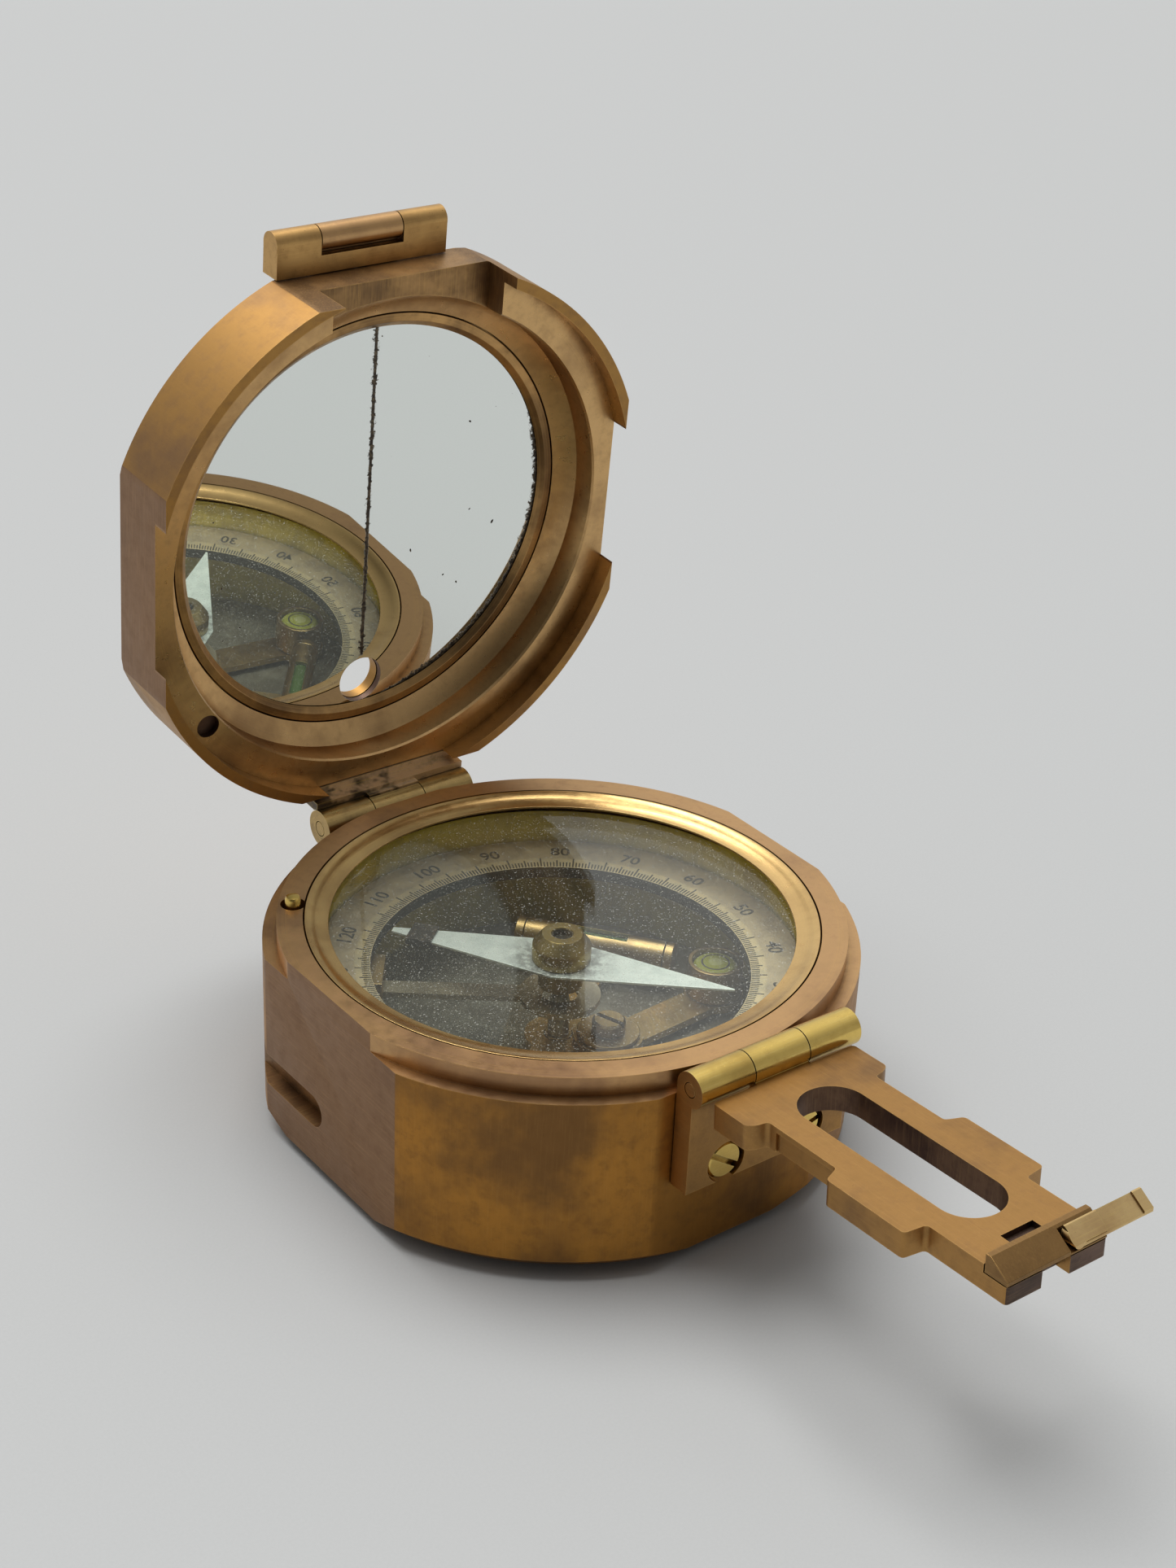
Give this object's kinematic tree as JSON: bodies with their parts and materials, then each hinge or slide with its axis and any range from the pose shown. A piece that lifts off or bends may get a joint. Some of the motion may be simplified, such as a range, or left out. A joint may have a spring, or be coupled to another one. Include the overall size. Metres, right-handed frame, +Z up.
{
  "type": "geology compass",
  "caption": "Round brass pocket transit: needle over a graduated ring, level tubes under glass, a mirrored lid on a hinge and a slotted folding sighting arm.",
  "frame": {"origin": "on the axis of the round case, at the flat underside of its base plate", "axes": "+Z up along the case's axis; the lid's hinge is toward +Y and the sighting arm reaches toward -Y, with both hinge pins along X"},
  "size_m": [0.0702, 0.1362, 0.1067],
  "materials": {
    "brass": "worn",
    "bright_brass": "polished",
    "dark_brass": "tarnished",
    "steel": "satin",
    "blackened_steel": "satin",
    "seal": "matte",
    "glass": "clear",
    "vial_glass": "tinted",
    "mirror": "polished",
    "dial": "engraved"
  },
  "bodies": {
    "case": {"case": "brass", "base_plate": "dark_brass", "bezel_ring": "brass", "gasket": "seal", "crystal": "glass", "graduated_ring": "dial", "floor_plate": "dial", "lever_yoke": "brass", "lever_pin": "steel", "lid_hinge_bracket": "bright_brass", "lid_hinge_pin": "steel", "hinge_screw_a": "bright_brass", "hinge_screw_b": "bright_brass", "arm_bracket": "brass", "arm_pin": "steel", "bracket_screw_a": "bright_brass", "bracket_screw_b": "bright_brass"},
    "clinometer": {"clinometer_shaft": "brass", "back_lever": "brass", "clinometer_arm": "brass", "clamp_washer": "brass", "clamp_screw": "brass", "level_tube": "brass", "level_vial": "vial_glass", "level_cap_a": "bright_brass", "level_cap_b": "bright_brass", "round_level_cup": "brass", "round_level_vial": "vial_glass", "needle_pivot": "steel"},
    "needle": {"needle_blade": "steel", "needle_hub": "brass", "balance_wire": "blackened_steel"},
    "lift_pin": {"lift_pin": "bright_brass"},
    "lifter": {"lifter_lever": "brass"},
    "lid": {"lid_shell": "brass", "mirror": "mirror", "mirror_ring": "brass", "lid_hinge_leaf": "dark_brass", "lid_sight_ears": "brass", "lid_sight_pin": "steel"},
    "lid_sight": {"lid_sight_leaf": "bright_brass"},
    "arm": {"sight_arm": "brass", "peep_mount": "brass", "peep_pin": "steel"},
    "peep": {"peep_leaf": "bright_brass"}
  },
  "joints": [
    {"name": "lid_hinge", "type": "hinge", "parent": "case", "child": "lid", "pos_m": [0, 0.03954, 0.02544], "axis": [1, 0, 0], "range_deg": [-40, 85.4]},
    {"name": "arm_hinge", "type": "hinge", "parent": "case", "child": "arm", "pos_m": [0.0021, -0.03835, 0.0275], "axis": [-1, 0, 0], "range_deg": [-3.3, 176.69]},
    {"name": "peep_swing", "type": "hinge", "parent": "arm", "child": "peep", "pos_m": [0.0053, -0.08461, 0.02947], "axis": [0, 0.9983, -0.0577], "range_deg": [-90, 0]},
    {"name": "lid_sight_swing", "type": "hinge", "parent": "lid", "child": "lid_sight", "pos_m": [0, 0.04617, 0.10505], "axis": [-1, 0, 0], "range_deg": [-170, 0]},
    {"name": "needle_spin", "type": "hinge", "parent": "clinometer", "child": "needle", "pos_m": [0, 0, 0.0214], "axis": [0, 0, 1], "continuous": true},
    {"name": "clinometer_turn", "type": "hinge", "parent": "case", "child": "clinometer", "pos_m": [0, 0, 0.009], "axis": [0, 0, 1], "range_deg": [-80, 80]},
    {"name": "lift_pin_slide", "type": "slide", "parent": "case", "child": "lift_pin", "axis": [0, 0, -1], "range_m": [0, 0.0005], "stiffness_N_per_m": 400, "springref_m": -0.0005},
    {"name": "lever_tilt", "type": "hinge", "parent": "case", "child": "lifter", "pos_m": [-0.01919, 0.01442, 0.0169], "axis": [-0.6007, -0.7995, 0], "range_deg": [0, 2.9]}
  ],
  "couplings": [
    {"joint": "lever_tilt", "follows": "lift_pin_slide", "rad_per_m": 97.125}
  ]
}
